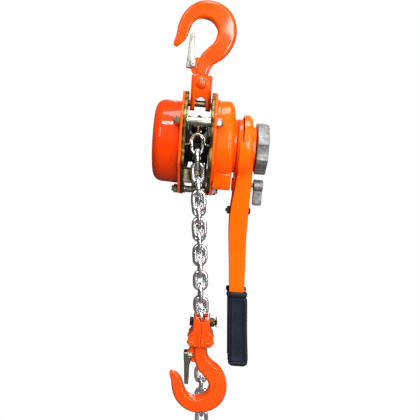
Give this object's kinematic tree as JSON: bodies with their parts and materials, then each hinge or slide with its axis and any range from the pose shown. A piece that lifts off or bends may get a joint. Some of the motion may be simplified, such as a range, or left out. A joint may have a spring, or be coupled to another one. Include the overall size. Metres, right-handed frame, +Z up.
{
  "type": "lever chain hoist",
  "caption": "Lever chain hoist: swivel top hook, geared body with brake, ratchet lever with grip, hand wheel, link load chain and a swivel load hook with latch.",
  "frame": {"origin": "the seat of the top hook: the highest point of its bowl, where the hoist hangs from an anchor", "axes": "+Z up, along the hanging load chain; +X from the gear cover towards the hand wheel; -Y is the side of the load fall. The body, the top hook and the lever hang 5.3 degrees off plumb about Y, their top towards +X, and the bottom block hangs 5 degrees off plumb"},
  "size_m": [0.1536, 0.12, 0.6483],
  "materials": {
    "painted_orange": "glossy orange enamel",
    "hook_orange": "orange enamel on a forging",
    "yellow_zinc": "yellow zinc plating",
    "chain_steel": "bright zinc-plated chain steel",
    "dark_steel": "dark phosphated steel",
    "machined_steel": "machined steel",
    "grey_casting": "satin grey plated casting",
    "grip_rubber": "matt dark blue-black moulding",
    "friction_lining": "brake lining"
  },
  "bodies": {
    "top_hook": {"top_hook": "hook_orange", "top_latch_pin": "yellow_zinc"},
    "top_latch": {"top_latch": "yellow_zinc"},
    "top_yoke": {"top_yoke": "hook_orange"},
    "frame": {"side_plate_gear": "yellow_zinc", "side_plate_brake": "yellow_zinc", "outer_plate_gear": "painted_orange", "outer_plate_brake": "painted_orange", "gear_cover": "painted_orange", "brake_cover": "painted_orange", "stay_bolt_front": "yellow_zinc", "stay_bolt_rear": "yellow_zinc", "stay_bolt_bottom": "yellow_zinc", "top_pin": "yellow_zinc", "top_pin_washer": "yellow_zinc", "chain_guide": "yellow_zinc", "chain_wire_guide": "yellow_zinc", "sheave_bearing_gear": "machined_steel", "sheave_bearing_brake": "machined_steel", "ratchet_pin_front": "machined_steel", "ratchet_pin_rear": "machined_steel"},
    "sheave": {"load_sheave": "dark_steel", "load_gear": "machined_steel", "sheave_chain": "chain_steel"},
    "drive": {"drive_shaft": "machined_steel", "hand_wheel": "grey_casting", "shaft_nut": "yellow_zinc", "change_gear": "machined_steel", "brake_hub": "machined_steel", "friction_disc_inner": "friction_lining", "friction_disc_outer": "friction_lining"},
    "ratchet_disc": {"ratchet_disc": "machined_steel"},
    "disc_gear_front": {"disc_gear_front": "machined_steel"},
    "disc_gear_rear": {"disc_gear_rear": "machined_steel"},
    "ratchet_pawl_front": {"ratchet_pawl_front": "machined_steel"},
    "ratchet_pawl_rear": {"ratchet_pawl_rear": "machined_steel"},
    "lever": {"lever_outer_shell": "painted_orange", "lever_inner_shell": "painted_orange", "lever_bolt": "yellow_zinc", "lever_grip": "grip_rubber"},
    "selector_knob": {"selector_knob": "grey_casting"},
    "selector_pawl": {"selector_pawl": "machined_steel"},
    "load_chain": {"load_chain": "chain_steel"},
    "tail_chain": {"tail_chain": "chain_steel"},
    "chain_end_ring": {"chain_end_ring": "chain_steel"},
    "load_yoke": {"load_yoke_left": "hook_orange", "load_yoke_right": "hook_orange", "load_yoke_bolt": "dark_steel", "load_yoke_nut": "yellow_zinc", "load_yoke_cotter": "yellow_zinc", "load_yoke_rivet_front": "hook_orange", "load_yoke_rivet_rear": "hook_orange"},
    "load_hook": {"load_hook": "hook_orange", "load_latch_pin": "yellow_zinc"},
    "load_latch": {"load_latch": "yellow_zinc"}
  },
  "joints": [
    {"name": "top_latch_hinge", "type": "hinge", "parent": "top_hook", "child": "top_latch", "pos_m": [-0.01679, 0, -0.05599], "axis": [0, 1, 0], "range_deg": [0, 30], "stiffness_Nm_per_rad": 0.02, "springref_deg": -28.65},
    {"name": "top_hook_swivel", "type": "hinge", "parent": "top_hook", "child": "top_yoke", "pos_m": [-0.00474, 0, -0.07006], "axis": [0.0924, 0, 0.9957], "continuous": true},
    {"name": "frame_swing", "type": "hinge", "parent": "top_yoke", "child": "frame", "pos_m": [-0.00811, 0, -0.1064], "axis": [0.9957, 0, -0.0924], "range_deg": [-35, 35]},
    {"name": "sheave_turn", "type": "hinge", "parent": "frame", "child": "sheave", "pos_m": [-0.01301, 0, -0.15918], "axis": [0.9957, 0, -0.0924], "range_deg": [0, 36]},
    {"name": "load_lift", "type": "slide", "parent": "frame", "child": "load_chain", "axis": [0, 0, -1], "range_m": [0, 0.018]},
    {"name": "tail_run", "type": "slide", "parent": "frame", "child": "tail_chain", "axis": [0.0122, 0, 0.9999], "range_m": [0, 0.018]},
    {"name": "drive_turn", "type": "hinge", "parent": "frame", "child": "drive", "pos_m": [-0.01301, 0, -0.15918], "axis": [0.9957, 0, -0.0924], "range_deg": [0, 270]},
    {"name": "disc_gear_front_turn", "type": "hinge", "parent": "frame", "child": "disc_gear_front", "pos_m": [-0.01301, -0.026, -0.15918], "axis": [0.9957, 0, -0.0924], "range_deg": [-100, 0]},
    {"name": "disc_gear_rear_turn", "type": "hinge", "parent": "frame", "child": "disc_gear_rear", "pos_m": [-0.01301, 0.026, -0.15918], "axis": [0.9957, 0, -0.0924], "range_deg": [-100, 0]},
    {"name": "ratchet_disc_play", "type": "hinge", "parent": "frame", "child": "ratchet_disc", "pos_m": [-0.01301, 0, -0.15918], "axis": [0.9957, 0, -0.0924], "range_deg": [-1, 1]},
    {"name": "ratchet_pawl_front_hinge", "type": "hinge", "parent": "frame", "child": "ratchet_pawl_front", "pos_m": [0.01915, -0.0415, -0.1481], "axis": [0.9957, 0, -0.0924], "range_deg": [-12, 0]},
    {"name": "ratchet_pawl_rear_hinge", "type": "hinge", "parent": "frame", "child": "ratchet_pawl_rear", "pos_m": [0.01656, 0.0415, -0.17598], "axis": [0.9957, 0, -0.0924], "range_deg": [-12, 0]},
    {"name": "lever_turn", "type": "hinge", "parent": "frame", "child": "lever", "pos_m": [0.04873, 0, -0.16491], "axis": [0.9957, 0, -0.0924], "continuous": true},
    {"name": "selector_turn", "type": "hinge", "parent": "lever", "child": "selector_knob", "pos_m": [0.06208, 0, -0.21586], "axis": [0.9957, 0, -0.0924], "range_deg": [-35, 35]},
    {"name": "selector_pawl_turn", "type": "hinge", "parent": "lever", "child": "selector_pawl", "pos_m": [0.04415, 0, -0.21419], "axis": [0.9957, 0, -0.0924], "range_deg": [-16, 16]},
    {"name": "end_ring_hinge", "type": "hinge", "parent": "tail_chain", "child": "chain_end_ring", "pos_m": [-0.01836, 0.0276, -0.5964], "axis": [1, 0, 0], "range_deg": [-60, 60]},
    {"name": "load_yoke_pivot", "type": "hinge", "parent": "load_chain", "child": "load_yoke", "pos_m": [-0.01301, -0.0276, -0.39683], "axis": [0.9962, 0, -0.0872], "range_deg": [-12, 12]},
    {"name": "load_hook_swivel", "type": "hinge", "parent": "load_yoke", "child": "load_hook", "pos_m": [-0.01562, -0.0276, -0.42672], "axis": [0.0872, 0, 0.9962], "continuous": true},
    {"name": "load_latch_hinge", "type": "hinge", "parent": "load_hook", "child": "load_latch", "pos_m": [-0.03045, -0.0276, -0.44359], "axis": [0, -1, 0], "range_deg": [0, 30], "stiffness_Nm_per_rad": 0.02, "springref_deg": -28.65}
  ],
  "couplings": [
    {"joint": "sheave_turn", "follows": "load_lift", "rad_per_m": 34.907},
    {"joint": "tail_run", "follows": "load_lift", "ratio": 1},
    {"joint": "disc_gear_front_turn", "follows": "load_lift", "rad_per_m": -94.746},
    {"joint": "disc_gear_rear_turn", "follows": "load_lift", "rad_per_m": -94.746},
    {"joint": "drive_turn", "follows": "load_lift", "rad_per_m": 257.17},
    {"joint": "selector_pawl_turn", "follows": "selector_turn", "ratio": 0.42857}
  ]
}
